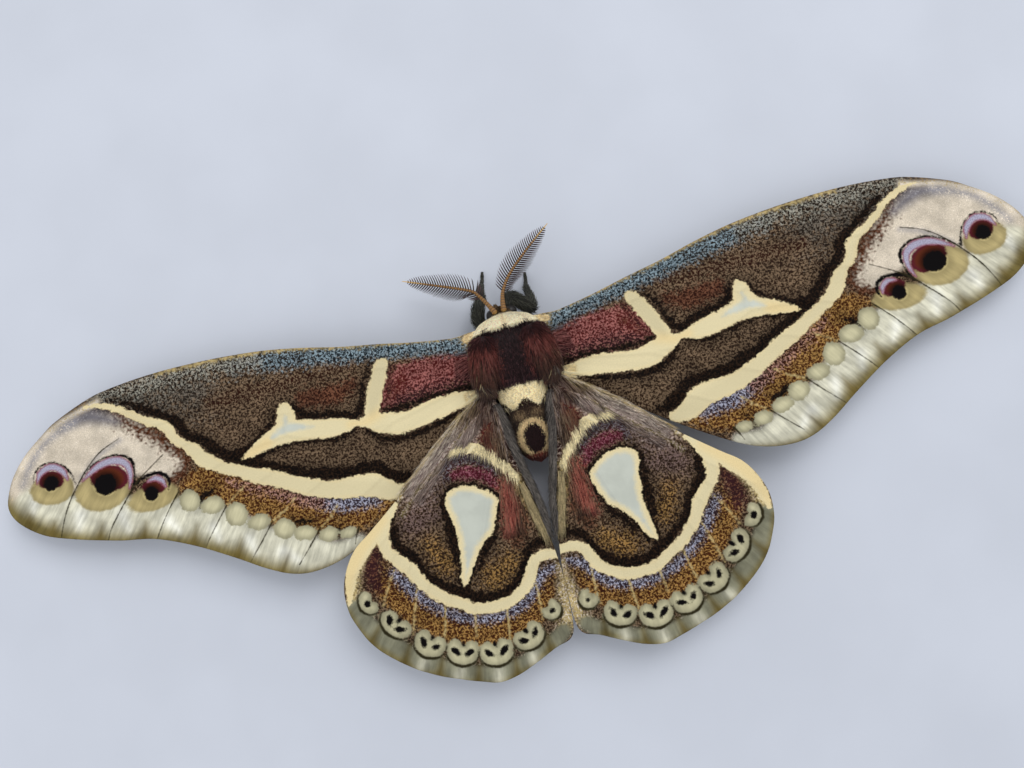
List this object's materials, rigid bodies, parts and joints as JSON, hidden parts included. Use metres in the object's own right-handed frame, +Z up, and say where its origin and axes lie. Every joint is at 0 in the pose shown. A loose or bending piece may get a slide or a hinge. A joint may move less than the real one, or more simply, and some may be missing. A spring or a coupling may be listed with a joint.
{
  "type": "silk moth",
  "caption": "Life-size still model of a giant silk moth at rest, its four patterned wings spread flat, standing on its six feet.",
  "frame": {"origin": "bottom centre of the moth's box, on the floor that its six feet stand on", "axes": "+Z up, head towards -Y, the moth's left wings towards +X"},
  "size_m": [0.114, 0.0472, 0.0093],
  "materials": {
    "dark_fur": "short soft black-brown hair",
    "cream_fur": "soft cream hair",
    "maroon_fur": "soft dull red hair",
    "abdomen_fur": "short brown hair",
    "wing_scales": "matt powdery scales",
    "antenna": "satin horn",
    "eye": "glossy",
    "leg_fur": "short dark hair"
  },
  "bodies": {
    "root": {"head": "dark_fur", "eye_left": "eye", "eye_right": "eye", "antenna_left": "antenna", "antenna_right": "antenna", "collar": "cream_fur", "thorax": "dark_fur", "tegula_left": "maroon_fur", "tegula_right": "maroon_fur", "waist": "cream_fur", "abdomen": "abdomen_fur", "forewing_left": "wing_scales", "forewing_right": "wing_scales", "hindwing_left": "wing_scales", "hindwing_right": "wing_scales", "foreleg_left": "leg_fur", "foreleg_right": "leg_fur", "midleg_left": "leg_fur", "midleg_right": "leg_fur", "hindleg_left": "leg_fur", "hindleg_right": "leg_fur"}
  },
  "joints": []
}
